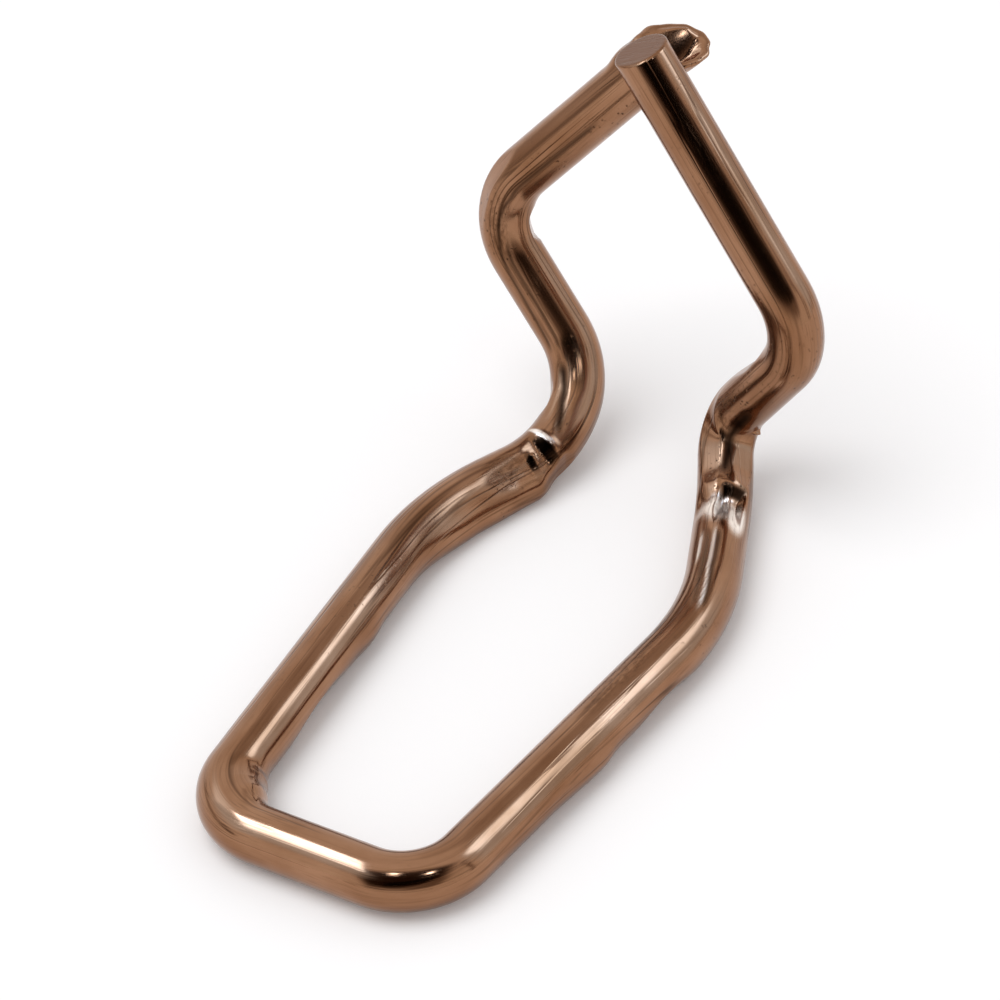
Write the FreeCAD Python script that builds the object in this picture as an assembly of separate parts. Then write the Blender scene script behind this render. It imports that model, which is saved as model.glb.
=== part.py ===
import FreeCAD, Part
import math
import os

# Trim clip: one length of round spring wire bent into a flat loop with an
# upright arrow-shaped head. All sizes in millimetres, +Z up, +Y from the
# loop's bar towards the head, +X to the right arm.

# Wire
wire_diameter = 1.6

# Flat loop: the bar, the two legs and the two knees lie on one level
bar_length = 6.95
bar_skew = -0.35
leg_end_distance = 13.15
leg_end_spread = 9.3
leg_end_skew = -1.05
knee_distance = 17.55
knee_spread = 5.45
knee_skew = 0.1
loop_sideways = 0.45

# Neck, where both wires turn upwards
neck_distance = 19.9
neck_rise = 1.05
neck_spread = 4.7
neck_sideways = -0.15
neck_skew = -0.5
neck_level_step = -0.15

# Shoulders of the arrow head
shoulder_distance = 20.0
shoulder_rise = 5.3
shoulder_spread = 11.35
shoulder_sideways = -0.3
shoulder_skew = -2.0
shoulder_level_step = -0.4

# Tip, where the right arm passes in front of the left arm
tip_distance = 21.85
tip_rise = 11.45
tip_sideways = -0.4
arm_gap = 0.09
right_arm_overrun = 0.33
left_arm_overrun = 0.08

# Centreline bend radii
bar_bend_radius_left = 2.0
bar_bend_radius_right = 1.85
leg_bend_radius = 7.9
knee_bend_radius_left = 4.0
knee_bend_radius_right = 5.6
neck_bend_radius_left = 2.4
neck_bend_radius_right = 1.2
shoulder_bend_radius_left = 2.05
shoulder_bend_radius_right = 1.85

# Sheared wire ends: how far each face leans off square, and the way it
# leans (right, back, up)
right_shear_lean = 24.0
right_shear_way = (0.44, -0.67, 0.6)
left_shear_lean = 36.0
left_shear_way = (-0.5, -0.55, 0.65)

# Dents pressed into the inside of the knees by the bending tool
dent_nose_radius = 1.0
dent_depth = 0.12

node_name = "wire_clip"
wire_radius = wire_diameter / 2.0


def vec(x, y, z):
    return FreeCAD.Vector(x, y, z)


def unit(v):
    return v * (1.0 / v.Length)


def station(sideways, distance, level, spread, skew=0.0, level_step=0.0):
    """Left and right centreline points of one pair of bends."""
    half = vec(spread, skew, level_step) * 0.5
    middle = vec(sideways, distance, level)
    return middle - half, middle + half


def bend_at(before, corner, after, radius):
    """Start, middle, end and centre of the arc that rounds one corner.

    The radius is cut back where the straights beside the corner are too
    short for it.
    """
    back = before - corner
    ahead = after - corner
    half_angle = back.getAngle(ahead) / 2.0
    room = 0.485 * min(back.Length, ahead.Length)
    trim = min(radius / math.tan(half_angle), room)
    radius = trim * math.tan(half_angle)
    back = unit(back)
    ahead = unit(ahead)
    inward = unit(back + ahead)
    centre = corner + inward * (radius / math.sin(half_angle))
    start = corner + back * trim
    middle = centre - inward * radius
    end = corner + ahead * trim
    return start, middle, end, centre


def disc(point, direction):
    """Wire cross-section as a face square to the wire."""
    circle = Part.makeCircle(wire_radius, point, direction)
    return Part.Face(Part.Wire(circle))


def straight(start, end):
    along = end - start
    return Part.makeCylinder(wire_radius, along.Length, start, unit(along))


def bend(start, end, centre, corner):
    """Bent length of wire: the cross-section turned about the bend axis."""
    along = corner - start
    axis = unit(along.cross(end - corner))
    turn = along.getAngle(end - corner)
    section = disc(start, unit(along))
    return section.revolve(centre, axis, math.degrees(turn))


def sheared(arm, end, outward, towards, lean):
    """Trim an arm with a flat shear cut whose face leans off square."""
    turn = FreeCAD.Rotation(outward.cross(towards), lean)
    normal = turn.multVec(outward)
    side = 8.0 * wire_radius
    block = Part.makeBox(side, side, side, vec(-side / 2.0, -side / 2.0, 0))
    facing = FreeCAD.Rotation(vec(0, 0, 1), normal)
    block.Placement = FreeCAD.Placement(end, facing).multiply(block.Placement)
    return arm.cut(block)


# Centreline points, left and right
level = wire_radius
bar = station(0.0, 0.0, level, bar_length, bar_skew)
leg_end = station(loop_sideways, leg_end_distance, level, leg_end_spread, leg_end_skew)
knee = station(loop_sideways, knee_distance, level, knee_spread, knee_skew)
neck = station(neck_sideways, neck_distance, level + neck_rise, neck_spread, neck_skew, neck_level_step)
shoulder = station(
    shoulder_sideways, shoulder_distance, level + shoulder_rise,
    shoulder_spread, shoulder_skew, shoulder_level_step,
)

# The arms pass each other at the tip, one wire and the gap apart
tip = vec(tip_sideways, tip_distance, level + tip_rise)
head_lean = unit(tip - (shoulder[0] + shoulder[1]) * 0.5)
head_front = unit(vec(0, -head_lean.z, head_lean.y))
half_step = head_front * ((wire_diameter + arm_gap) / 2.0)
left_cross = tip - half_step
right_cross = tip + half_step
left_outward = unit(left_cross - shoulder[0])
right_outward = unit(right_cross - shoulder[1])
left_end = left_cross + left_outward * left_arm_overrun
right_end = right_cross + right_outward * right_arm_overrun

# Corner points from the left end round the loop to the right end
allowance = 3.0 * wire_radius
path = [
    left_end + left_outward * allowance,
    shoulder[0], neck[0], knee[0], leg_end[0], bar[0],
    bar[1], leg_end[1], knee[1], neck[1], shoulder[1],
    right_end + right_outward * allowance,
]
radii = [
    shoulder_bend_radius_left, neck_bend_radius_left, knee_bend_radius_left,
    leg_bend_radius, bar_bend_radius_left, bar_bend_radius_right,
    leg_bend_radius, knee_bend_radius_right, neck_bend_radius_right,
    shoulder_bend_radius_right,
]

# Bends, and the straights between them
arcs = []
for index, radius in enumerate(radii):
    arcs.append(bend_at(path[index], path[index + 1], path[index + 2], radius))

pieces = []
run_start = path[0]
for index, (start, middle, end, centre) in enumerate(arcs):
    pieces.append(straight(run_start, start))
    pieces.append(bend(start, end, centre, path[index + 1]))
    run_start = end
pieces.append(straight(run_start, path[-1]))

# The two outer straights are the arms: shear them before joining
pieces[0] = sheared(pieces[0], left_end, left_outward, vec(*left_shear_way), left_shear_lean)
pieces[-1] = sheared(pieces[-1], right_end, right_outward, vec(*right_shear_way), right_shear_lean)

clip = pieces[0].multiFuse(pieces[1:])
clip = clip.removeSplitter()

# Tool dents across the inside of the knees, no longer than their mouths
dent_reach = 2.2 * math.sqrt(wire_radius ** 2 - (wire_radius - dent_depth) ** 2)
for corner_index in (3, 8):
    start, middle, end, centre = arcs[corner_index - 1]
    corner = path[corner_index]
    inward = unit(middle - corner)
    across = unit((corner - start).cross(end - corner))
    nose_centre = middle + inward * (wire_radius + dent_nose_radius - dent_depth)
    nose = Part.makeCylinder(
        dent_nose_radius, dent_reach,
        nose_centre - across * (dent_reach / 2.0), across,
    )
    clip = clip.cut(nose)

# Origin at the middle of the footprint, on the floor
box = clip.optimalBoundingBox(False, False)
clip.translate(vec(-(box.XMin + box.XMax) / 2.0, -(box.YMin + box.YMax) / 2.0, -box.ZMin))

os.makedirs("parts", exist_ok=True)
clip.exportStep("parts/" + node_name + ".step")
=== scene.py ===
import math

import bmesh
import bpy
import numpy as np
from mathutils import Matrix, Vector


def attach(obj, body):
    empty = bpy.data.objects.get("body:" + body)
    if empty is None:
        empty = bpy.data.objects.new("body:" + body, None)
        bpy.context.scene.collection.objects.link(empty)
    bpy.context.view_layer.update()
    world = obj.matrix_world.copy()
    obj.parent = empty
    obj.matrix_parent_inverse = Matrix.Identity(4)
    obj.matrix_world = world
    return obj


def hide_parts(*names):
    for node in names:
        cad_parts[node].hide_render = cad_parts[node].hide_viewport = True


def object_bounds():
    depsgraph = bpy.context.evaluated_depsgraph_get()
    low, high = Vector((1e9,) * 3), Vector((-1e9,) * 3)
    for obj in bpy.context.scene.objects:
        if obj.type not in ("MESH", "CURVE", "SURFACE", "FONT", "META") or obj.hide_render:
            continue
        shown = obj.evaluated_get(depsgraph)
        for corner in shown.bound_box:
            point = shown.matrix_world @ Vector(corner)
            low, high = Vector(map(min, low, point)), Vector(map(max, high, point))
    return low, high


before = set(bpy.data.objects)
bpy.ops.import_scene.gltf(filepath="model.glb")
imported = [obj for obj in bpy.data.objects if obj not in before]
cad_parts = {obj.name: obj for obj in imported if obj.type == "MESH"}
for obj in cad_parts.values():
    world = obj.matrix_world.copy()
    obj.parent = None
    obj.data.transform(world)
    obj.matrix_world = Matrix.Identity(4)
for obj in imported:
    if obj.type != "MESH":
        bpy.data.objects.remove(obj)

cad_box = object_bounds()

MM = 0.001
upwards = Vector((0, 0, 1))

# Sizes of the clip, in millimetres, in the frame of the CAD part. The skin
# is how far inside the solid's surface the swept wire stays.
wire_diameter = 1.6
wire_radius = wire_diameter / 2
wire_skin = 0.003
left_end = Vector((-0.137, 11.355, 12.063))
right_end = Vector((-0.404, 9.795, 12.735))

# Corner points of the bent wire from the left end to the right end, each
# with the radius of its bend
route = [
    (left_end, 0.0),
    (Vector((-5.767, 9.680, 6.300)), 2.05),
    (Vector((-2.292, 8.830, 1.925)), 2.39),
    (Vector((-2.067, 6.180, 0.800)), 4.00),
    (Vector((-3.992, 2.355, 0.800)), 7.81),
    (Vector((-3.267, -11.145, 0.800)), 2.00),
    (Vector((3.683, -11.495, 0.800)), 1.85),
    (Vector((5.308, 1.305, 0.800)), 7.90),
    (Vector((3.383, 6.280, 0.800)), 5.60),
    (Vector((2.408, 8.330, 1.775)), 1.16),
    (Vector((5.583, 7.680, 5.900)), 1.85),
    (right_end, 0.0),
]

# Fineness of the wire's mesh: how far apart the sweep's own rings are, and
# the final rings where the wire is plain, and where it is marked or cut
sweep_spacing = 0.10
plain_spacing = 0.14
marked_spacing = 0.04
marked_stretches = [(0.0, 1.3), (15.3, 17.9), (31.6, 34.4), (55.2, 60.6), (72.1, 74.0)]
ring_sides = 92
points_per_bend = 24

# The photograph's camera: the way to it and its roll in degrees, how far
# off it is and the point it aims at in millimetres, and its lens
view_azimuth = 32.28
view_elevation = 38.0
view_roll = 5.59
view_distance = 110.19
aim_point = Vector((1.992, -3.431, 7.318))
lens_mm = 152.8
sensor_mm = 36.0


def linear(hex_colour):
    """An sRGB hex colour as linear red, green, blue and alpha."""
    parts = [int(hex_colour[i:i + 2], 16) / 255 for i in (1, 3, 5)]
    return [c / 12.92 if c <= 0.04045 else ((c + 0.055) / 1.055) ** 2.4 for c in parts] + [1.0]


def add_node(tree, kind, inputs=None, **settings):
    """Add a node, set its properties, and set or link its inputs."""
    node = tree.nodes.new(kind)
    for name, value in settings.items():
        setattr(node, name, value)
    for name, value in (inputs or {}).items():
        if isinstance(value, bpy.types.NodeSocket):
            tree.links.new(value, node.inputs[name])
        else:
            node.inputs[name].default_value = value
    return node


def emptied_nodes(owner):
    """The node tree of a material or world, with nothing in it yet."""
    owner.use_nodes = True
    owner.node_tree.nodes.clear()
    return owner.node_tree


def placed(name, data):
    """A new object, linked to the scene."""
    item = bpy.data.objects.new(name, data)
    bpy.context.scene.collection.objects.link(item)
    return item


def facing(azimuth, elevation):
    """Unit vector towards a direction round the object. Azimuth 0 is its
    front, and 90 its right side."""
    a, e = math.radians(azimuth), math.radians(elevation)
    return Vector((math.sin(a) * math.cos(e), -math.cos(a) * math.cos(e), math.sin(e)))


# Camera

def make_camera():
    """The photograph's camera, from its direction, distance and roll."""
    back = facing(view_azimuth, view_elevation)
    level_right = upwards.cross(back).normalized()
    level_up = back.cross(level_right)
    roll = math.radians(view_roll)
    right = level_right * math.cos(roll) - level_up * math.sin(roll)
    up = level_right * math.sin(roll) + level_up * math.cos(roll)
    data = bpy.data.cameras.new("camera")
    data.lens = lens_mm
    data.sensor_width = sensor_mm
    data.clip_start = 0.005
    data.clip_end = 20.0
    camera = placed("camera", data)
    camera.location = (aim_point + back * view_distance) * MM
    camera.rotation_mode = "QUATERNION"
    camera.rotation_quaternion = Matrix((right, up, back)).transposed().to_quaternion()
    bpy.context.scene.camera = camera


make_camera()


# Wire sweep

def wire_sweep_tree():
    """Round the route's corners, sweep the wire's section along it, and
    keep how far along and how far round each point lies."""
    tree = bpy.data.node_groups.new("wire_sweep", "GeometryNodeTree")
    face = tree.interface
    face.new_socket("Route", in_out="INPUT", socket_type="NodeSocketGeometry")
    for name, kind in (
        ("Wire Radius", "NodeSocketFloat"),
        ("Ring Spacing", "NodeSocketFloat"),
        ("Sides", "NodeSocketInt"),
        ("Points per Bend", "NodeSocketInt"),
        ("Finish", "NodeSocketMaterial"),
    ):
        face.new_socket(name, in_out="INPUT", socket_type=kind)
    face.new_socket("Wire", in_out="OUTPUT", socket_type="NodeSocketGeometry")

    sizes = add_node(tree, "NodeGroupInput")
    curve = add_node(tree, "GeometryNodeMeshToCurve", {"Mesh": sizes.outputs["Route"]})
    bend_radius = add_node(tree, "GeometryNodeInputNamedAttribute", {
        "Name": "bend_radius",
    }, data_type="FLOAT")
    bent = add_node(tree, "GeometryNodeFilletCurve", {
        "Curve": curve.outputs["Curve"],
        "Count": sizes.outputs["Points per Bend"],
        "Radius": bend_radius.outputs["Attribute"],
    }, mode="POLY")
    even = add_node(tree, "GeometryNodeResampleCurve", {
        "Curve": bent.outputs["Curve"],
        "Length": sizes.outputs["Ring Spacing"],
    }, mode="LENGTH")
    place = add_node(tree, "GeometryNodeSplineParameter")
    measured = add_node(tree, "GeometryNodeStoreNamedAttribute", {
        "Geometry": even.outputs["Curve"],
        "Name": "along",
        "Value": place.outputs["Length"],
    }, data_type="FLOAT", domain="POINT")
    section = add_node(tree, "GeometryNodeCurvePrimitiveCircle", {
        "Resolution": sizes.outputs["Sides"],
        "Radius": sizes.outputs["Wire Radius"],
    }, mode="RADIUS")
    round_place = add_node(tree, "GeometryNodeSplineParameter")
    clocked = add_node(tree, "GeometryNodeStoreNamedAttribute", {
        "Geometry": section.outputs["Curve"],
        "Name": "around",
        "Value": round_place.outputs["Factor"],
    }, data_type="FLOAT", domain="POINT")
    swept = add_node(tree, "GeometryNodeCurveToMesh", {
        "Curve": measured.outputs["Geometry"],
        "Profile Curve": clocked.outputs["Geometry"],
    })
    real = add_node(tree, "GeometryNodeRealizeInstances", {"Geometry": swept.outputs["Mesh"]})
    finished = add_node(tree, "GeometryNodeSetMaterial", {
        "Geometry": real.outputs["Geometry"],
        "Material": sizes.outputs["Finish"],
    })
    add_node(tree, "NodeGroupOutput", {"Wire": finished.outputs["Geometry"]})
    return tree


def swept_rings(finish):
    """The plain round wire, bent along its route, as rings of points in
    millimetres, with how far along the wire each ring lies."""
    line = bpy.data.meshes.new("route")
    corners = [corner * MM for corner, radius in route]
    line.from_pydata(corners, [(i, i + 1) for i in range(len(corners) - 1)], [])
    bends = line.attributes.new("bend_radius", "FLOAT", "POINT")
    bends.data.foreach_set("value", [radius * MM for corner, radius in route])
    guide = placed("route", line)
    tree = wire_sweep_tree()
    modifier = guide.modifiers.new("wire_sweep", "NODES")
    modifier.node_group = tree
    values = {
        "Wire Radius": (wire_radius - wire_skin) * MM,
        "Ring Spacing": sweep_spacing * MM,
        "Sides": ring_sides,
        "Points per Bend": points_per_bend,
        "Finish": finish,
    }
    for item in tree.interface.items_tree:
        if item.name in values:
            modifier[item.identifier] = values[item.name]
    evaluated = guide.evaluated_get(bpy.context.evaluated_depsgraph_get())
    swept = bpy.data.meshes.new_from_object(evaluated)
    bpy.data.objects.remove(guide)

    count = len(swept.vertices)
    points, along, around = np.empty(count * 3), np.empty(count), np.empty(count)
    swept.vertices.foreach_get("co", points)
    swept.attributes["along"].data.foreach_get("value", along)
    swept.attributes["around"].data.foreach_get("value", around)
    order = np.lexsort((around, along))
    rings = points.reshape(-1, 3)[order].reshape(-1, ring_sides, 3) / MM
    return rings, along[order][::ring_sides] / MM


def closer_rings(rings, along):
    """Rings set closer together along the marked stretches of the wire, on
    a smooth curve through the sweep's own rings."""
    stations = [0.0]
    while stations[-1] < along[-1] - marked_spacing:
        marked = any(low <= stations[-1] <= high for low, high in marked_stretches)
        stations.append(stations[-1] + (marked_spacing if marked else plain_spacing))
    stations[-1] = along[-1]
    stations = np.array(stations)
    place = np.interp(stations, along, np.arange(len(along)))
    first = np.clip(place.astype(int), 0, len(along) - 2)
    t = (place - first)[:, None, None]
    before, start, end = rings[np.maximum(first - 1, 0)], rings[first], rings[first + 1]
    after = rings[np.minimum(first + 2, len(along) - 1)]
    smooth = start + 0.5 * t * (end - before + t * (2 * before - 5 * start + 4 * end - after
                                + t * (3 * (start - end) + after - before)))
    return smooth, stations


# Marks of the tools. Each place on the wire is a station, its distance in
# millimetres along the wire from the left end, and a side (right, back, up).

# Flats left by the bending tools: the side each faces, and its depth at
# stations along the wire
tool_flats = {
    "left_shoulder": ((-0.60, -0.55, 0.58), [(5.9, 0.0), (6.9, 0.09), (7.5, 0.08), (8.6, 0.0)]),
    "left_shoulder_inside": ((0.86, 0.50, 0.04), [(7.2, 0.0), (8.1, 0.13), (9.05, 0.12), (9.30, 0.0)]),
    "left_neck_back": ((-0.90, -0.30, 0.30), [(13.2, 0.0), (14.1, 0.08), (14.7, 0.09), (15.5, 0.0)]),
    "left_knee_side": ((0.88, -0.25, -0.20), [(15.6, 0.0), (15.95, 0.10), (16.5, 0.08), (17.0, 0.0)]),
    "right_leg_underside": (
        (0.81, -0.10, -0.58), [(47.3, 0.0), (48.9, 0.10), (49.3, 0.10), (50.6, 0.0)]),
    "left_leg_inside": ((0.84, 0.05, -0.54), [(26.0, 0.0), (27.6, 0.11), (28.4, 0.11), (30.2, 0.0)]),
    "right_neck_outer": ((0.80, -0.20, 0.56), [(56.9, 0.0), (57.9, 0.10), (58.9, 0.13), (60.2, 0.0)]),
    "right_neck_inner": ((-0.40, -0.25, 0.88), [(56.7, 0.0), (57.9, 0.09), (58.9, 0.11), (60.8, 0.0)]),
    "right_flank_back": ((-0.78, 0.11, 0.62), [(60.6, 0.0), (62.0, 0.14), (62.4, 0.12), (63.4, 0.0)]),
}

# Ledges struck into the insides of the knees, and swellings where the wire
# was squeezed: points of each one's course, as a station and the side it
# faces there, its depth at stations (minus where it stands up), its half
# width round the wire, and the share of that which is full
struck_ledges = {
    "left_knee_first": (
        [(16.0, (0.50, -0.25, 0.83)), (16.9, (0.66, -0.28, 0.70))],
        [(15.8, 0.0), (16.04, -0.02), (16.50, 0.20), (17.1, 0.11), (18.6, 0.0)], 0.74, 0.30),
    "left_knee_second": (
        [(16.6, (0.62, -0.30, 0.72)), (17.6, (0.76, -0.30, 0.58))],
        [(16.66, 0.0), (17.02, 0.14), (19.0, 0.0)], 0.52, 0.25),
    "right_knee": (
        [(56.0, (0.33, 0.08, 0.94)), (57.2, (0.55, 0.02, 0.83))],
        [(54.8, 0.0), (56.42, 0.26), (57.14, 0.0)], 0.50, 0.65),
    "right_knee_facet": (
        [(55.6, (-0.35, -0.15, 0.93)), (57.2, (-0.35, -0.30, 0.89))],
        [(55.5, 0.0), (56.45, 0.10), (57.2, 0.0)], 0.70, 0.6),
    "left_knee_bead": (
        [(16.72, (0.46, -0.25, 0.85))],
        [(16.60, 0.0), (16.72, -0.045), (16.84, 0.0)], 0.15, 0.0),
    "left_knee_underside": (
        [(16.5, (0.70, -0.20, -0.68)), (17.5, (0.60, -0.30, -0.74)), (22.0, (0.83, 0.03, -0.55))],
        [(16.2, 0.0), (17.0, -0.24), (18.5, -0.30), (19.5, -0.28), (22.8, 0.0)], 0.95, 0.1),
    "lower_left_inside": (
        [(31.5, (0.86, 0.10, -0.30)), (32.8, (0.82, 0.50, 0.20)), (34.0, (0.40, 0.80, 0.40))],
        [(31.0, 0.0), (32.2, -0.28), (33.3, -0.28), (34.6, 0.0)], 1.05, 0.1),
    "left_leg_bump": (
        [(25.2, (0.84, 0.05, -0.54))],
        [(24.2, 0.0), (25.2, -0.07), (26.2, 0.0)], 0.8, 0.2),
    "right_leg_swelling": (
        [(45.8, (0.81, -0.10, -0.58))],
        [(43.6, 0.0), (45.9, -0.09), (46.8, 0.0)], 0.8, 0.3),
    "right_neck_burr": (
        [(59.8, (0.92, -0.23, -0.31))],
        [(59.62, 0.0), (59.80, -0.13), (59.98, 0.0)], 0.22, 0.0),
    "left_end_top": (
        [(1.0, (-0.73, 0.09, 0.68))],
        [(0.2, -0.06), (1.1, -0.11), (2.1, 0.0)], 0.7, 0.3),
}

# Lengthwise grooves and folds left by drawing and forming: points of each
# one's course, its depth (minus for a ridge), its half width, and how much
# painted shade and painted dark reflection darken it (minus where its crest is worn bright instead)
lengthwise_folds = {
    "left_arm_line": (
        [(3.0, (0.32, -0.95, -0.04)), (6.3, (0.29, -0.96, -0.01)), (7.1, (0.38, -0.92, 0.06)),
         (7.7, (0.27, -0.94, 0.18)), (8.7, (0.14, -0.95, 0.26)), (9.6, (-0.03, -0.98, 0.17)),
         (11.3, (-0.12, -0.99, 0.10)), (12.6, (-0.30, -0.94, 0.17))], 0.022, 0.065, 0.75),
    "left_flank_line": (
        [(8.5, (0.48, -0.83, 0.29)), (9.5, (0.24, -0.90, 0.37)), (10.8, (0.20, -0.90, 0.38)),
         (12.6, (0.02, -0.89, 0.46))], 0.014, 0.055, 0.7),
    "left_neck_fold": (
        [(12.8, (-0.28, -0.66, 0.70)), (13.8, (-0.20, -0.60, 0.77)), (14.6, (-0.05, -0.38, 0.92)),
         (15.5, (0.34, -0.29, 0.90)), (15.9, (0.48, -0.27, 0.83))], 0.050, 0.14, 1.0),
    "right_neck_fold": (
        [(61.4, (0.10, -0.96, -0.26)), (60.6, (0.18, -0.94, -0.28)), (59.7, (0.44, -0.86, 0.18)),
         (58.5, (0.38, -0.30, 0.88)), (57.8, (0.17, -0.26, 0.95)), (57.2, (0.11, -0.22, 0.97))],
        0.060, 0.19, 1.0),
    "right_leg_line": (
        [(55.1, (0.13, 0.03, 0.99)), (53.2, (0.09, 0.0, 1.0)), (51.3, (0.40, 0.01, 0.92))],
        0.025, 0.07, 0.75),
    "right_leg_inner_line": (
        [(55.0, (-0.27, -0.10, 0.96)), (53.0, (-0.28, -0.10, 0.95)), (51.3, (0.06, 0.0, 1.0))],
        0.020, 0.07, 0.6),
    "right_leg_worn_line": (
        [(55.1, (-0.02, -0.02, 1.0)), (53.2, (-0.05, -0.02, 1.0)), (51.3, (0.27, 0.01, 0.96))],
        -0.012, 0.040, -1.0),
    "right_leg_worn_edge": (
        [(55.0, (-0.45, -0.17, 0.87)), (53.3, (-0.50, -0.17, 0.85))], -0.010, 0.05, -1.0),
}

# Spots where the plating is burnished pale, or rubbed dull: the side each
# faces, its station, half length and half width
burnished_spots = {
    "right_knee_floor": ((-0.02, -0.02, 1.0), 55.95, 0.82, 0.82),
    "right_knee_side": ((0.62, 0.22, 0.75), 55.60, 0.95, 0.40),
    "left_knee_edge": ((0.0, -0.12, 0.99), 16.04, 0.14, 0.64),
}
rubbed_spots = {
    "left_knee_rub": ((0.40, -0.28, 0.87), 17.7, 0.8, 0.50),
    "right_leg_rub": ((-0.10, 0.01, 0.99), 47.9, 2.2, 0.42),
    "left_shoulder_rub": ((0.10, -0.92, 0.36), 8.2, 1.6, 0.50),
    "right_neck_rub": ((-0.30, -0.80, 0.50), 60.4, 1.0, 0.60),
}

# Marks kept on the mesh for the finish to read: the tools', among them the
# painted shade of the folds and of the ledges' walls, and the rest
tool_marks = ("pressed", "painted_fold_shade", "worn", "painted_wall_shade", "burnished", "rubbed")
other_marks = ("handled", "cut", "sheared")

# How the marks fade out
fold_run_out = 0.6  # a fold ends over this length, in millimetres
spot_edge = 0.6  # a spot fades from its edge inwards over this share of it
pressed_depth = 0.1  # a ledge is fully pressed at this depth
wall_shade_slope = 0.30  # its wall takes painted shade where it is steeper than this
wall_shade_range = 0.20  # and fully so where it is steeper still by this much
least_wall_shade_depth = 0.01  # what is shallower or stands up takes none


def ring_frames(rings):
    """Centre, direction of the wire and outward directions of each ring."""
    centres = rings.mean(axis=1)
    ways = np.gradient(centres, axis=0)
    ways /= np.linalg.norm(ways, axis=1)[:, None]
    outward = rings - centres[:, None]
    outward /= np.linalg.norm(outward, axis=2)[..., None]
    return centres, ways, outward


def across(way, side):
    """The given side, made square to the wire at each ring."""
    side = np.broadcast_to(side, way.shape)
    side = side - way * np.einsum("ij,ij->i", way, side)[:, None]
    return side / np.linalg.norm(side, axis=1)[:, None]


def along_course(way, along, course):
    """The side that a course faces at each ring, square to the wire."""
    stations, sides = zip(*sorted(course))
    return across(way, np.stack([np.interp(along, stations, part) for part in zip(*sides)], axis=1))


def round_from(outward, side):
    """How far round the wire each point lies from a side, in millimetres."""
    return np.arccos(np.clip(np.einsum("ijk,ik->ij", outward, side), -1.0, 1.0)) * wire_radius


def soft_step(x):
    """From 0 to 1 with a soft start and end."""
    x = np.clip(x, 0.0, 1.0)
    return x * x * (3.0 - 2.0 * x)


def eased(along, stations):
    """Values given at stations, eased from each to the next."""
    places, values = np.array(stations).T
    step = np.clip(np.searchsorted(places, along) - 1, 0, len(places) - 2)
    share = soft_step((along - places[step]) / (places[step + 1] - places[step]))
    return values[step] + (values[step + 1] - values[step]) * share


def press_marks(rings, along):
    """Press the tool marks into the wire and note where it was pressed."""
    centres, ways, outward = ring_frames(rings)
    marks = {name: np.zeros(rings.shape[:2]) for name in tool_marks}
    for side, stations in tool_flats.values():
        side = across(ways, side)
        depth = eased(along, stations)
        height = np.einsum("ijk,ik->ij", rings - centres[:, None], side)
        sunk = np.maximum(height - (wire_radius - depth[:, None]), 0.0)
        sunk[depth <= 0.0] = 0.0
        rings = rings - side[:, None] * sunk[..., None]
    for course, depth, half_width, painted_shade in lengthwise_folds.values():
        turn = round_from(outward, along_course(ways, along, course))
        low, high = min(course)[0], max(course)[0]
        ends = soft_step((along - low) / fold_run_out) * soft_step((high - along) / fold_run_out)
        share = np.exp(-(turn / half_width) ** 2) * ends[:, None]
        rings = rings - outward * (depth * share)[..., None]
        # Painted shade and dark reflection along the folds, and wear on the ridges' crests
        marks["painted_fold_shade"] = np.maximum(marks["painted_fold_shade"], share * painted_shade)
        marks["worn"] = np.maximum(marks["worn"], share * -painted_shade)
    for course, depths, half_width, flat in struck_ledges.values():
        turn = round_from(outward, along_course(ways, along, course))
        share = soft_step((1.0 - turn / half_width) / (1.0 - flat))
        depth = eased(along, depths)
        fall = np.abs(np.gradient(depth, along)) * (depth > least_wall_shade_depth)
        rings = rings - outward * (depth[:, None] * share)[..., None]
        pressed = soft_step(depth / pressed_depth)[:, None]
        # Painted shade on the ledge's steep wall
        painted_wall_shade = soft_step((fall - wall_shade_slope) / wall_shade_range)[:, None]
        marks["pressed"] = np.maximum(marks["pressed"], share * pressed)
        marks["painted_wall_shade"] = np.maximum(marks["painted_wall_shade"], share * painted_wall_shade)
    for name, spots in (("burnished", burnished_spots), ("rubbed", rubbed_spots)):
        for side, station, half_length, half_width in spots.values():
            reach = np.hypot((along[:, None] - station) / half_length,
                             round_from(outward, across(ways, side)) / half_width)
            marks[name] = np.maximum(marks[name], soft_step((1.0 - reach) / spot_edge))
    return rings, marks


# Sheared ends: the way each face leans and how far off square in degrees,
# and the radius of its rolled rim. The left one is torn, sloping to the
# front: its slope that way, how fast it cups (minus: domes), and how far it
# is sunk.
sheared_ends = {
    "left": ((-0.50, -0.55, 0.65), 36.0, 0.12, (1.30, -0.42, 0.16)),
    "right": ((0.44, -0.67, 0.60), 24.0, 0.07, None),
}
front_way = (0.421, -0.666, 0.616)

# The torn part of that face, in shares of the wire's radius: where it
# starts, and how much closer in it is fully torn
torn_edge, torn_range = 0.76, 0.20

# Burr thrown up round the left end's rim: how high, how far back it starts,
# the level part of its ragged edge and the share of each wave in it, and
# the waves, as how many go round and where each starts
burr_height, burr_length = 0.08, 0.8
burr_level, burr_wave = 0.6, 0.16
burr_waves = [(3, 0.4), (7, 2.0), (12, 1.1)]

# Rings of points on an end's face, how many of them round its rim, and the
# length over which the wire's last rings lean with the face
cap_steps = 18
rim_steps = 6
lean_length = 2.4

# How much the wire was handled and scuffed, at stations along it
handled_stretches = [(0.0, 1.0), (18.0, 1.0), (30.0, 0.2), (42.0, 0.1), (50.0, 0.5), (55.0, 1.0),
                     (62.0, 1.0), (65.0, 0.4), (74.0, 0.4)]

# How far round the wire each point of a ring lies, in radians
ring_turn = np.linspace(0.0, 2.0 * math.pi, ring_sides, endpoint=False)


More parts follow.
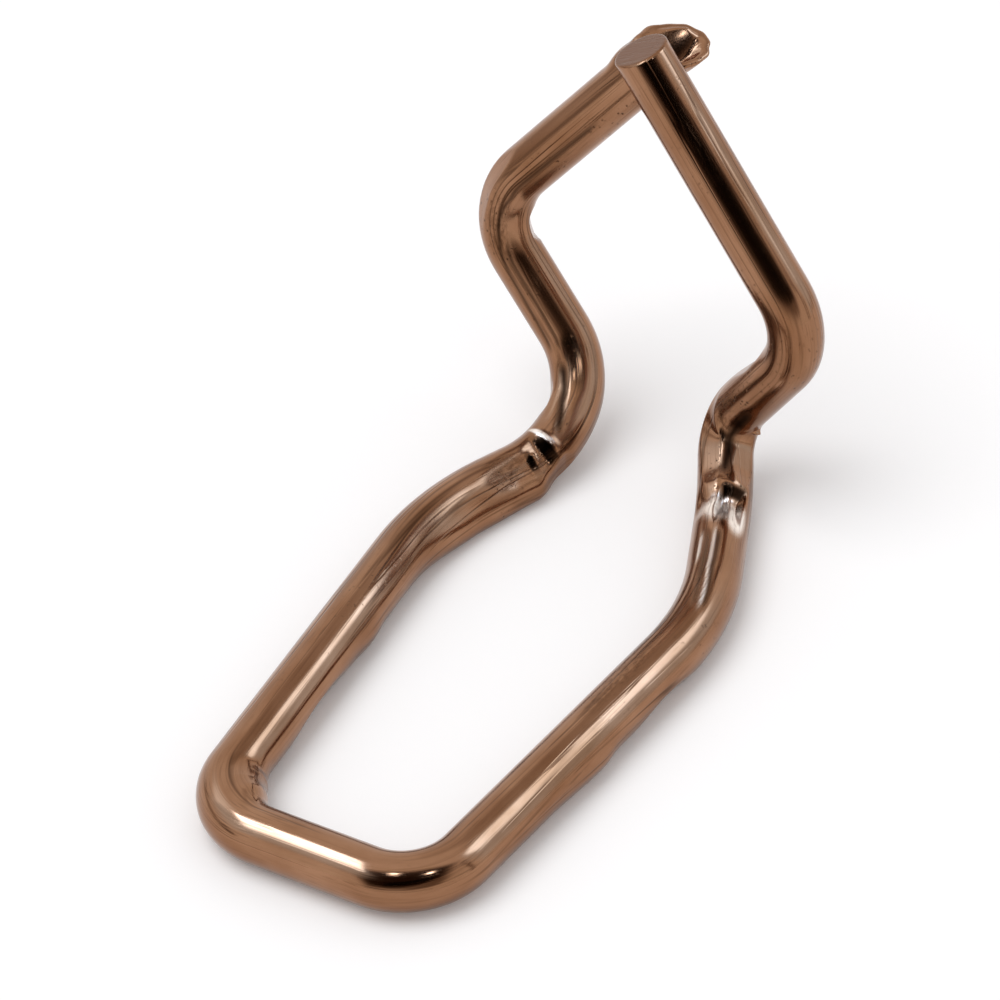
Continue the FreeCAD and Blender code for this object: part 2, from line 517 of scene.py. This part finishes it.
def burred_rim(rings, along):
    """The rings by the left end, thrown outwards into a ragged burr."""
    waves = sum(burr_wave * np.sin(count * ring_turn + start) for count, start in burr_waves)
    share = soft_step(1.0 - along / burr_length)[:, None] * (burr_level + waves)
    centres, ways, outward = ring_frames(rings)
    return rings + outward * (burr_height * share)[..., None]


def end_face(ring, outwards, lean_way, lean, rim, tear):
    """Rings from the wire's rim to the middle of its sheared face."""
    centre = ring.mean(axis=0)
    lean_way = np.array(lean_way) - outwards * (outwards @ np.array(lean_way))
    lean_way /= np.linalg.norm(lean_way)
    front = np.array(front_way) - outwards * (outwards @ np.array(front_way))
    front /= np.linalg.norm(front)
    spokes = ring - centre
    face = []
    for step in range(cap_steps + 1):
        if step <= rim_steps:
            angle = step / rim_steps * math.pi / 2
            share = 1.0 - rim / wire_radius * (1.0 - math.cos(angle))
            drop = rim * (1.0 - math.sin(angle))
        else:
            share = (1.0 - rim / wire_radius) * (1.0 - (step - rim_steps) / (cap_steps - rim_steps))
            drop = 0.0
        flat = spokes * share
        height = math.tan(math.radians(lean)) * -(flat @ lean_way) - drop
        if tear:
            slope, cup, sunk = tear
            torn = cup * np.einsum("ij,ij->i", flat, flat) - slope * (flat @ front) - sunk
            height = height + (torn - height) * soft_step((torn_edge - share) / torn_range)
        face.append(centre + flat + outwards[None] * height[:, None])
    return face


def dressed_wire(finish):
    """The bent wire with its tool marks and sheared ends, as one mesh."""
    rings, along = closer_rings(*swept_rings(finish))
    rings, marks = press_marks(rings, along)
    rings = burred_rim(rings, along)
    caps = []
    for name, at_end, step in (("left", 0, 1), ("right", len(rings) - 1, -1)):
        outwards = rings[at_end].mean(axis=0) - rings[at_end + step].mean(axis=0)
        outwards /= np.linalg.norm(outwards)
        end_rings = end_face(rings[at_end], outwards, *sheared_ends[name])
        shift = np.einsum("jk,k->j", end_rings[0] - rings[at_end], outwards)
        share = np.clip(1.0 - np.abs(along - along[at_end]) / lean_length, 0.0, 1.0)
        rings = rings + outwards * (shift * share[:, None])[..., None]
        caps.append((end_rings, at_end))

    # Points and faces of the sides, then of the end faces. Each point keeps
    # its lay, its place on the straightened wire, for the finish's patterns.
    sides = ring_sides
    count = len(rings)
    circle = np.stack([np.cos(ring_turn), np.sin(ring_turn)], axis=1) * wire_radius
    points = [rings.reshape(-1, 3)]
    lay = [np.concatenate([np.tile(circle, (count, 1)), np.repeat(along, sides)[:, None]], axis=1)]
    cut = [np.zeros(count * sides)]
    faces = []
    for i in range(count - 1):
        for j in range(sides):
            k = (j + 1) % sides
            faces.append((i * sides + j, i * sides + k, (i + 1) * sides + k, (i + 1) * sides + j))
    next_index = count * sides
    for end_rings, at_end in caps:
        before = [at_end * sides + j for j in range(sides)]
        for step, ring in enumerate(end_rings[1:], start=1):
            last = step == len(end_rings) - 1
            here = ring[:1] if last else ring
            share = np.linalg.norm(ring - ring.mean(axis=0), axis=1).max() / wire_radius
            stations = np.full((len(here), 1), along[at_end])
            points.append(here)
            lay.append(np.concatenate([circle[:len(here)] * share, stations], axis=1))
            cut.append(np.full(len(here), min(1.0, step / rim_steps)))
            now = [next_index + (0 if last else j) for j in range(sides)]
            for j in range(sides):
                k = (j + 1) % sides
                loop = [before[j], before[k], now[j]]
                if not last:
                    loop.insert(2, now[k])
                faces.append(loop if at_end else loop[::-1])
            before = now
            next_index += len(here)

    # The swellings and burrs stay within the part's own box
    low, high = (np.array(corner) / MM for corner in cad_box)
    points = np.clip(np.concatenate(points), low + wire_skin, high - wire_skin)

    body = bpy.data.meshes.new("wire")
    body.from_pydata(points * MM, [], faces)
    lay = np.concatenate(lay)
    marks["handled"] = np.interp(lay[:, 2], *zip(*handled_stretches))
    marks["cut"] = np.concatenate(cut)
    marks["sheared"] = marks["cut"] * (lay[:, 2] > along[-1] / 2)  # the right end, cut clean
    for name, values in marks.items():
        values = values.ravel()
        values = np.concatenate([values, np.zeros(len(lay) - len(values))])
        body.attributes.new(name, "FLOAT", "POINT").data.foreach_set("value", values)
    body.attributes.new("wire_mm", "FLOAT_VECTOR", "POINT").data.foreach_set("vector", lay.ravel())
    shell = bmesh.new()
    shell.from_mesh(body)
    bmesh.ops.recalc_face_normals(shell, faces=shell.faces)
    shell.to_mesh(body)
    shell.free()
    body.materials.append(finish)
    body.shade_smooth()
    return body


# Patterns of the plating. Each grain: the size of its patches, twice across
# the wire and once along it, in millimetres, its turn in degrees, and its
# detail. Die lines are 0.02 to 0.05 mm wide on real wire; these are drawn at
# 0.06 to 0.1 mm, so that they show.
grains = {
    "line": ((0.42, 0.42, 14.0), (0, 0, 0), 1.0),
    "fade": ((0.9, 0.9, 4.5), (0, 0, 0), 2.0),
    "hair": ((0.07, 0.07, 2.6), (0, 0, 0), 1.0),
    "wave": ((0.55, 0.55, 5.0), (0, 0, 0), 1.0),
    "shear": ((0.09, 0.6, 1.0), (0, 0, 35), 3.0),
    "fleck": ((0.09, 0.09, 0.20), (0, 0, 0), 3.0),
    "cloud": ((1.1, 1.1, 2.8), (0, 0, 0), 4.0),
    "scuff": ((0.06, 0.06, 0.9), (24, 18, 0), 1.0),
    "scuff_patch": ((1.3, 1.3, 2.2), (0, 0, 70), 2.0),
    "speck_patch": ((1.1, 1.1, 1.6), (0, 0, 40), 3.0),
    "scratch": ((0.10, 0.10, 0.5), (60, 25, 0), 3.0),
}

# Grain noise keeps this share of its strength at each finer detail
grain_roughness = 0.55

# A die line follows the middle value of its grain: how far from that value
# it fades out, and where it is full
line_fade, line_full = 0.030, 0.004

# Specks are about 0.1 mm across, with ragged edges: how many cells, each
# with a speck, and how many jogs go to a millimetre, how far a jog goes in
# millimetres, and where in its cell a speck fades out and where it is full
speck_cells, speck_jogs, jog_size = 5.2, 9.0, 0.16
speck_fade, speck_full = 0.24, 0.10

# The stretch of each grain's values that shows, from none to full
shown_grains = {
    "faded": ("fade", 0.38, 0.62),
    "hairs": ("hair", 0.52, 0.74),
    "shear_marks": ("shear", 0.45, 0.70),
    "clouds": ("cloud", 0.34, 0.68),
    "scuff_marks": ("scuff", 0.54, 0.72),
    "scuff_patches": ("scuff_patch", 0.48, 0.66),
    "speck_patches": ("speck_patch", 0.52, 0.62),
    "scratches": ("scratch", 0.50, 0.66),
    "flecks": ("fleck", 0.42, 0.60),
}

# Marks that show only where all of their parts do
joined_marks = {
    "die_lines": ("lines", "faded", "drawn"),
    "hair_lines": ("hairs", "drawn"),
    "shear_lines": ("shear_marks", "sheared"),
    "scuffs": ("scuff_marks", "scuff_patches"),
    "pits": ("specks", "speck_patches", "handled"),
    "scratched": ("scratches", "pressed"),
    "scored": ("scratched", "burnished"),
    "rubs": ("flecks", "rubbed"),
}

# The plating's own tone where it is light and where it is dark, its
# roughness, and the tones laid over it one after another, with how far each
# covers it
light_plating = "#A0775B"
dark_plating = "#885F43"
plating_roughness = 0.09
plating_tones = [
    ("sheared", 0.95, "#6E4426"),
    ("burnished", 0.95, "#FFF1E4"),
    ("rubs", 0.42, "#5A3C28"),
    ("hair_lines", 0.30, "#6B4830"),
    ("scuffs", 0.45, "#5E3F2A"),
    ("scored", 0.60, "#7A563C"),
    ("die_lines", 0.72, "#3E2413"),
    ("pits", 0.80, "#2E1B0F"),
    ("shear_lines", 0.50, "#6B4830"),
    # Painted shade in the folds, near black
    ("painted_fold_shade", 0.95, "#1E0F07"),
    ("worn", 0.95, "#FFF1E4"),
    # Painted shade on the ledges' steep walls, near black
    ("painted_wall_shade", 0.96, "#180D07"),
]

# How much each mark dulls the plating, and how high it stands in millimetres
mark_dulling = [
    ("clouds", 0.06), ("handled", 0.07), ("scuffs", 0.12), ("scratched", 0.08),
    ("burnished", 0.14), ("rubs", 0.12), ("sheared", 0.14), ("painted_fold_shade", 0.25), ("worn", 0.20),
]
mark_heights = [
    ("wave", 0.005), ("die_lines", -0.006), ("hair_lines", -0.0012), ("scuffs", -0.0018),
    ("pits", -0.004), ("scored", 0.003), ("shear_lines", -0.003),
]


def bronzed_wire_finish():
    """Hard-drawn spring steel wire, bronze plated and left unpolished. The
    plating gives a glossy brown metal; the drawing die leaves dark lengthwise
    lines in it, handling leaves scuffs and pits, and its tone is uneven."""
    finish = bpy.data.materials.new("bronzed_spring_wire")
    tree = emptied_nodes(finish)
    place = add_node(tree, "ShaderNodeAttribute", attribute_name="wire_mm").outputs["Vector"]
    marks = {}
    for name in tool_marks + other_marks:
        marks[name] = add_node(tree, "ShaderNodeAttribute", attribute_name=name).outputs["Fac"]
    for name, (sizes, turned, detail) in grains.items():
        laid = add_node(tree, "ShaderNodeMapping", {
            "Vector": place,
            "Rotation": [math.radians(a) for a in turned],
            "Scale": [1.0 / size for size in sizes],
        })
        marks[name] = add_node(tree, "ShaderNodeTexNoise", {
            "Vector": laid.outputs["Vector"],
            "Scale": 1.0,
            "Detail": detail,
            "Roughness": grain_roughness,
        }).outputs["Fac"]
    for name, (grain, low, high) in shown_grains.items():
        marks[name] = add_node(tree, "ShaderNodeMapRange", {
            "Value": marks[grain], "From Min": low, "From Max": high,
        }).outputs["Result"]

    # Die lines, and the drawn surface that shows them, which the cuts don't
    middle = add_node(tree, "ShaderNodeMath", {0: marks["line"], 1: 0.5}, operation="SUBTRACT")
    middle = add_node(tree, "ShaderNodeMath", {0: middle.outputs["Value"]}, operation="ABSOLUTE")
    marks["lines"] = add_node(tree, "ShaderNodeMapRange", {
        "Value": middle.outputs["Value"], "From Min": line_fade, "From Max": line_full,
    }).outputs["Result"]
    marks["drawn"] = add_node(tree, "ShaderNodeMath", {
        0: 1.0, 1: marks["cut"]}, operation="SUBTRACT").outputs["Value"]

    # Specks with ragged edges
    ragged = add_node(tree, "ShaderNodeTexNoise", {"Vector": place, "Scale": speck_jogs, "Detail": 2.0})
    jogged = add_node(tree, "ShaderNodeVectorMath", {
        0: ragged.outputs["Color"], 1: [jog_size] * 3, 2: place}, operation="MULTIPLY_ADD")
    specks = add_node(tree, "ShaderNodeTexVoronoi", {
        "Vector": jogged.outputs["Vector"], "Scale": speck_cells})
    marks["specks"] = add_node(tree, "ShaderNodeMapRange", {
        "Value": specks.outputs["Distance"], "From Min": speck_fade, "From Max": speck_full,
    }).outputs["Result"]

    for name, parts in joined_marks.items():
        marks[name] = marks[parts[0]]
        for part in parts[1:]:
            marks[name] = add_node(tree, "ShaderNodeMath", {
                0: marks[name], 1: marks[part]}, operation="MULTIPLY").outputs["Value"]

    # A colour Mix node has its tones on inputs 6 and 7, and gives output 2
    plating = add_node(tree, "ShaderNodeMix", {
        0: marks["clouds"], 6: linear(light_plating), 7: linear(dark_plating),
    }, data_type="RGBA").outputs[2]
    for name, cover, tone in plating_tones:
        share = add_node(tree, "ShaderNodeMath", {0: marks[name], 1: cover}, operation="MULTIPLY")
        plating = add_node(tree, "ShaderNodeMix", {
            0: share.outputs["Value"], 6: plating, 7: linear(tone),
        }, data_type="RGBA").outputs[2]
    roughness = plating_roughness
    for name, dulling in mark_dulling:
        roughness = add_node(tree, "ShaderNodeMath", {
            0: marks[name], 1: dulling, 2: roughness}, operation="MULTIPLY_ADD").outputs["Value"]
    height = 0.0
    for name, high in mark_heights:
        height = add_node(tree, "ShaderNodeMath", {
            0: marks[name], 1: high, 2: height}, operation="MULTIPLY_ADD").outputs["Value"]
    relief = add_node(tree, "ShaderNodeBump", {"Height": height, "Strength": 1.0, "Distance": MM})

    shader = add_node(tree, "ShaderNodeBsdfPrincipled", {
        "Base Color": plating,
        "Metallic": 1.0,
        "Roughness": roughness,
        "Normal": relief.outputs["Normal"],
    })
    add_node(tree, "ShaderNodeOutputMaterial", {"Surface": shader.outputs["BSDF"]})
    return finish


wire = placed("wire", dressed_wire(bronzed_wire_finish()))
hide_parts("wire_clip")
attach(wire, "root")


# Studio: a white tent all round, with a dark opening for the camera, lamps
# beside it, lit panels, and shaded seams low down. Only the wire's gloss
# shows the panels: the camera and the floor see none of them.

# Where the panels face, how far off the first of them hangs, and how much
# nearer each next one, in millimetres, so that it covers those before it
studio_centre = Vector((0, 0, 5))
panel_distance = 600.0
panel_step = 20.0

# Half of what stays fully lit, in degrees, where a soft edge is as wide as
# its panel
least_core = 0.2

# The lamps' two whites
lamp_white = "#D3E8FF"
lamp_cool_white = "#BCDCFF"

# Each panel: the way to it (azimuth, elevation), half its width, half its
# height, its soft edge and its turn in degrees, its colour and brightness
studio_panels = {
    "opening_edge": (23.0, 44.0, 42.0, 34.0, 9.0, 0.0, "#9A8E86", 1.0),
    "camera_opening": (20.0, 47.0, 38.0, 27.0, 7.0, 6.0, "#33231A", 1.0),
    "opening_heart": (27.0, 37.0, 25.0, 8.0, 6.0, 18.0, "#0A0502", 1.0),
    "left_lamp": (-4.0, 68.0, 2.6, 2.6, 1.2, 0.0, lamp_white, 20.0),
    "right_lamp": (59.0, 58.0, 2.6, 2.6, 1.2, 0.0, lamp_white, 20.0),
    "strip_glow": (-98.0, 41.0, 14.0, 9.0, 7.0, -10.0, lamp_white, 2.4),
    "strip_lamp": (-66.0, 55.5, 16.5, 5.4, 2.2, -20.0, lamp_cool_white, 17.0),
    "left_panel": (-62.0, 41.0, 24.0, 12.0, 11.0, 0.0, lamp_white, 1.45),
    "right_glow": (129.0, 28.0, 17.0, 26.0, 10.0, 0.0, lamp_white, 1.45),
    "right_panel": (137.0, 43.0, 13.5, 12.0, 4.5, 0.0, lamp_cool_white, 6.4),
    "back_shade": (178.0, 51.0, 20.0, 8.0, 6.0, 0.0, "#CCC6C2", 1.0),
    "right_seam": (97.0, 20.0, 2.0, 22.0, 2.0, 0.0, "#8C7A70", 1.0),
    "back_seam": (130.0, -4.0, 12.0, 7.0, 6.0, 0.0, "#C4B8B0", 1.0),
    "low_seam": (-72.0, 12.0, 32.0, 3.5, 3.0, 0.0, "#B0A49C", 1.0),
    "low_corner": (-52.0, 11.0, 9.0, 3.5, 3.0, 0.0, "#6E5E54", 1.0),
}


def panel_light(name, colour, brightness):
    """Glowing or dark cloth that fades out towards its edge."""
    light = bpy.data.materials.new(name)
    tree = emptied_nodes(light)
    edge = add_node(tree, "ShaderNodeAttribute", attribute_name="cover")
    cover = add_node(tree, "ShaderNodeMapRange", {
        "Value": edge.outputs["Fac"]}, interpolation_type="SMOOTHSTEP")
    glow = add_node(tree, "ShaderNodeEmission", {"Color": linear(colour), "Strength": brightness})
    clear = add_node(tree, "ShaderNodeBsdfTransparent")
    shown = add_node(tree, "ShaderNodeMixShader", {
        0: cover.outputs["Result"], 1: clear.outputs["BSDF"], 2: glow.outputs["Emission"],
    })
    add_node(tree, "ShaderNodeOutputMaterial", {"Surface": shown.outputs["Shader"]})
    return light


def hang_panel(name, panel, distance):
    """A cloth of three by three faces, lit fully in the middle one and
    fading out over the others."""
    azimuth, elevation, half_width, half_height, soft_edge, turn, colour, brightness = panel
    towards = facing(azimuth, elevation)
    level = upwards.cross(towards).normalized()
    level = Matrix.Rotation(math.radians(turn), 3, towards) @ level
    upright = towards.cross(level)
    centre = studio_centre + towards * distance
    steps = []
    for half in (half_width, half_height):
        inner = math.tan(math.radians(max(half - soft_edge, least_core))) * distance
        outer = math.tan(math.radians(half + soft_edge)) * distance
        steps.append((-outer, -inner, inner, outer))
    corners, covers, faces = [], [], []
    for row, up in enumerate(steps[1]):
        for column, over in enumerate(steps[0]):
            corners.append((centre + level * over + upright * up) * MM)
            covers.append(1.0 if row in (1, 2) and column in (1, 2) else 0.0)
    for row in range(3):
        for column in range(3):
            first = 4 * row + column
            faces.append((first, first + 4, first + 5, first + 1))
    cloth = bpy.data.meshes.new(name)
    cloth.from_pydata(corners, [], faces)
    cloth.attributes.new("cover", "FLOAT", "POINT").data.foreach_set("value", covers)
    cloth.materials.append(panel_light(name, colour, brightness))
    panel = placed(name, cloth)
    panel.visible_camera = False
    panel.visible_diffuse = False
    panel.visible_shadow = False


def rays_that_show(tree):
    """One for camera, glossy and transmission rays, and none for the rest."""
    ray = add_node(tree, "ShaderNodeLightPath")
    seen = add_node(tree, "ShaderNodeMath", {
        0: ray.outputs["Is Camera Ray"], 1: ray.outputs["Is Glossy Ray"]}, operation="ADD")
    seen = add_node(tree, "ShaderNodeMath", {
        0: seen.outputs["Value"], 1: ray.outputs["Is Transmission Ray"]}, operation="ADD")
    return seen.outputs["Value"]


# The key lamp stands for the strip lamp where the floor is lit: the way to
# it, how wide it looks from the floor in degrees, and its share of the light
# there. The tent gives the rest.
key_azimuth, key_elevation = -60.0, 70.0
key_width = 48.0
key_share = 0.34


def make_key_lamp():
    """Light from one side, which draws the object's shadow on the floor."""
    light = bpy.data.lights.new("key_lamp", "SUN")
    light.angle = math.radians(key_width)
    light.energy = key_share * math.pi / math.sin(math.radians(key_elevation))
    lamp = placed("key_lamp", light)
    lamp.rotation_euler = facing(key_azimuth, key_elevation).to_track_quat("Z", "Y").to_euler()
    lamp.visible_glossy = False


def make_studio():
    """The tent, which is full white to camera and gloss and dimmer to the
    floor, its panels and the key lamp."""
    world = bpy.data.worlds.new("studio")
    bpy.context.scene.world = world
    tree = emptied_nodes(world)
    strength = add_node(tree, "ShaderNodeMath", {
        0: rays_that_show(tree), 1: key_share, 2: 1.0 - key_share}, operation="MULTIPLY_ADD")
    tent = add_node(tree, "ShaderNodeBackground", {
        "Color": linear("#FFFFFF"), "Strength": strength.outputs["Value"]})
    add_node(tree, "ShaderNodeOutputWorld", {"Surface": tent.outputs["Background"]})
    for order, (name, panel) in enumerate(studio_panels.items()):
        hang_panel(name, panel, panel_distance - panel_step * order)
    make_key_lamp()


make_studio()


# Floor: half its width in metres, and the glow that lifts it to white where
# the camera or the wire's gloss sees it
floor_reach = 1.0
floor_lift = 0.07


def floor_finish():
    """Matt white card."""
    finish = bpy.data.materials.new("white_card")
    tree = emptied_nodes(finish)
    card = add_node(tree, "ShaderNodeBsdfDiffuse", {"Color": linear("#FCFBFC")})
    lift = add_node(tree, "ShaderNodeMath", {
        0: rays_that_show(tree), 1: floor_lift}, operation="MULTIPLY")
    glow = add_node(tree, "ShaderNodeEmission", {"Strength": lift.outputs["Value"]})
    both = add_node(tree, "ShaderNodeAddShader", {0: card.outputs["BSDF"], 1: glow.outputs["Emission"]})
    add_node(tree, "ShaderNodeOutputMaterial", {"Surface": both.outputs["Shader"]})
    return finish


floor_mesh = bpy.data.meshes.new("floor")
floor_corners = [(x * floor_reach, y * floor_reach, 0) for x, y in ((-1, -1), (1, -1), (1, 1), (-1, 1))]
floor_mesh.from_pydata(floor_corners, [], [(0, 1, 2, 3)])
floor_mesh.materials.append(floor_finish())
floor = placed("floor", floor_mesh)

# Plain colours
bpy.context.scene.view_settings.view_transform = "Standard"
